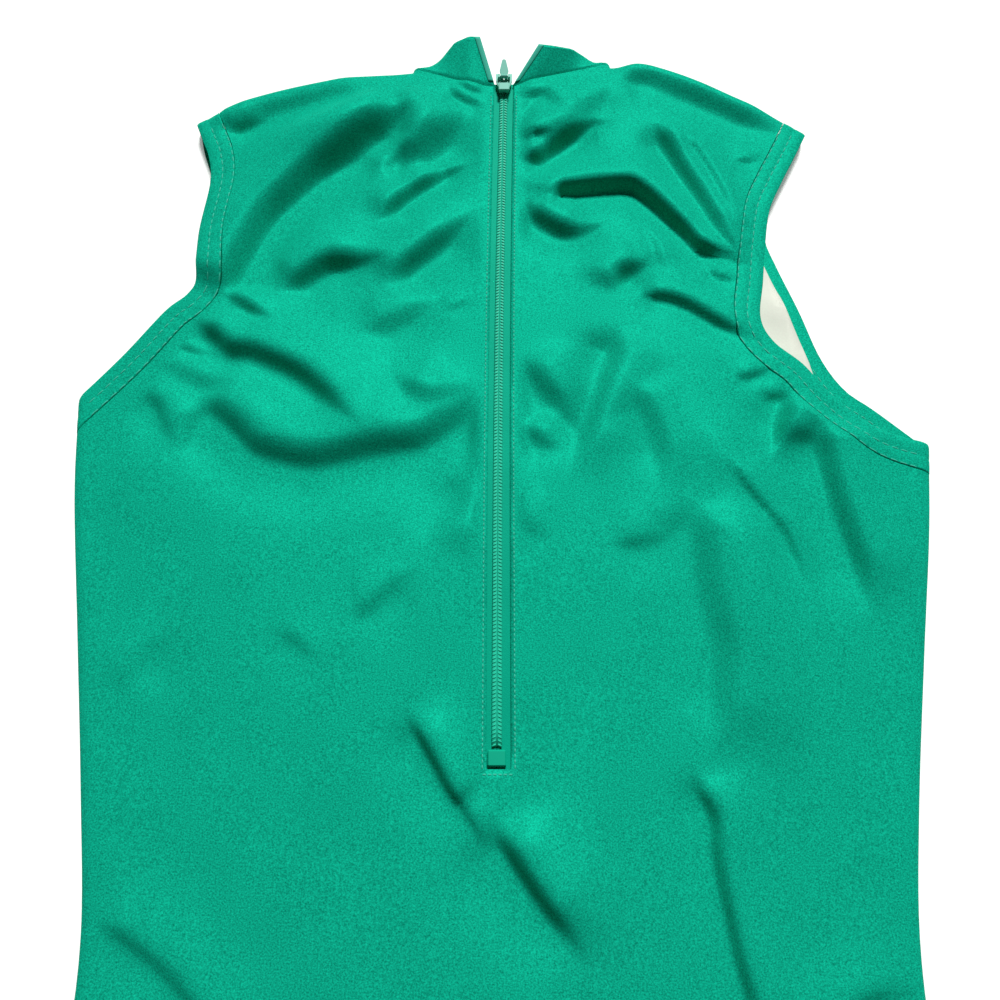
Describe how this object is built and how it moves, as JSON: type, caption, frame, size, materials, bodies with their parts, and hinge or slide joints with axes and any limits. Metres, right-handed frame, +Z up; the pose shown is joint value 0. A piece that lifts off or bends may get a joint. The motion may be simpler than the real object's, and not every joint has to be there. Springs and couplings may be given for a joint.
{
  "type": "sleeveless leotard with a back zip, laid flat",
  "caption": "Sleeveless zip-back leotard with a stand collar, laid flat on its front with its back up.",
  "frame": {"origin": "middle of the box's underside, on the surface that the leotard lies on", "axes": "+Z up out of the back, +Y from the crotch to the collar, +X to the right of the back as seen from above"},
  "size_m": [0.3776, 0.656, 0.0194],
  "materials": {
    "knit": "shiny emerald-green nylon and elastane knit with a fine glittering grain",
    "lining": "matt off-white knit",
    "tape": "matt green herringbone tape",
    "coil": "green nylon coil",
    "slider": "pale mint paint",
    "stop": "moulded green nylon"
  },
  "bodies": {
    "garment": {"back": "knit", "front": "knit", "front_lining": "lining", "collar": "knit", "armhole_hem_left": "knit", "armhole_hem_right": "knit", "leg_hem_left": "knit", "leg_hem_right": "knit", "zip_tape_left": "tape", "zip_tape_right": "tape", "zip_coil_left": "coil", "zip_coil_right": "coil", "zip_bottom_stop": "stop", "zip_slider": "slider"},
    "pull": {"zip_pull": "slider"}
  },
  "joints": [
    {"name": "pull_hinge", "type": "hinge", "parent": "garment", "child": "pull", "pos_m": [0.002, 0.304, 0.0157], "axis": [1, 0, 0], "range_deg": [0, 140]}
  ]
}
